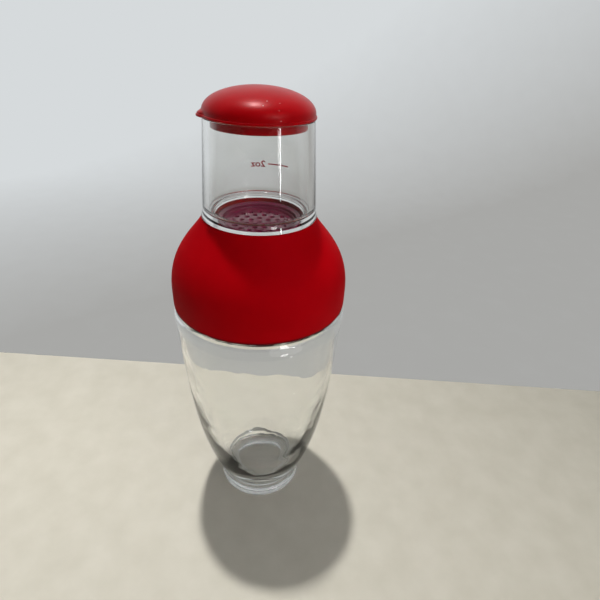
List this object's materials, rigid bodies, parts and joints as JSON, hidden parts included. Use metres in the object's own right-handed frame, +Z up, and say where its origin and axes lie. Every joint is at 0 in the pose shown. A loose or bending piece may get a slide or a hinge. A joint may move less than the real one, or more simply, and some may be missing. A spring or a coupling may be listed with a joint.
{
  "type": "cocktail shaker",
  "caption": "Cocktail shaker with a tapered clear glass body, a red domed collar holding a strainer, a clear measuring cup over the spout and a red pull-off cap.",
  "frame": {"origin": "centre of the glass foot's underside, on the table", "axes": "+Z up along the axis of the shaker; the cap's pull tab points near -X; -Y is the side the picture was taken from"},
  "size_m": [0.0932, 0.0932, 0.245],
  "materials": {
    "clear_glass": "clear pressed soda-lime glass, fire-polished and slightly wavy",
    "clear_plastic": "clear moulded acrylic, polished, lightly scuffed",
    "soft_touch_red": "soft-touch matte red over a moulded shell",
    "satin_red": "satin red silicone with fine dust",
    "moulded_red": "smooth moulded red plastic",
    "pale_silicone": "translucent pale silicone"
  },
  "bodies": {
    "glass": {"glass_body": "clear_glass"},
    "collar": {"collar_shell": "soft_touch_red", "collar_liner": "moulded_red", "neck_seal": "pale_silicone", "strainer": "moulded_red", "spout_seal": "satin_red"},
    "cup": {"measuring_cup": "clear_plastic"},
    "cap": {"cap": "satin_red"}
  },
  "joints": [
    {"name": "collar_lift", "type": "slide", "parent": "glass", "child": "collar", "axis": [0, 0, 1], "range_m": [0, 0.06]},
    {"name": "cup_lift", "type": "slide", "parent": "collar", "child": "cup", "axis": [0, 0, 1], "range_m": [0, 0.05]},
    {"name": "cap_pull", "type": "slide", "parent": "cup", "child": "cap", "axis": [0, 0, 1], "range_m": [0, 0.03]}
  ]
}
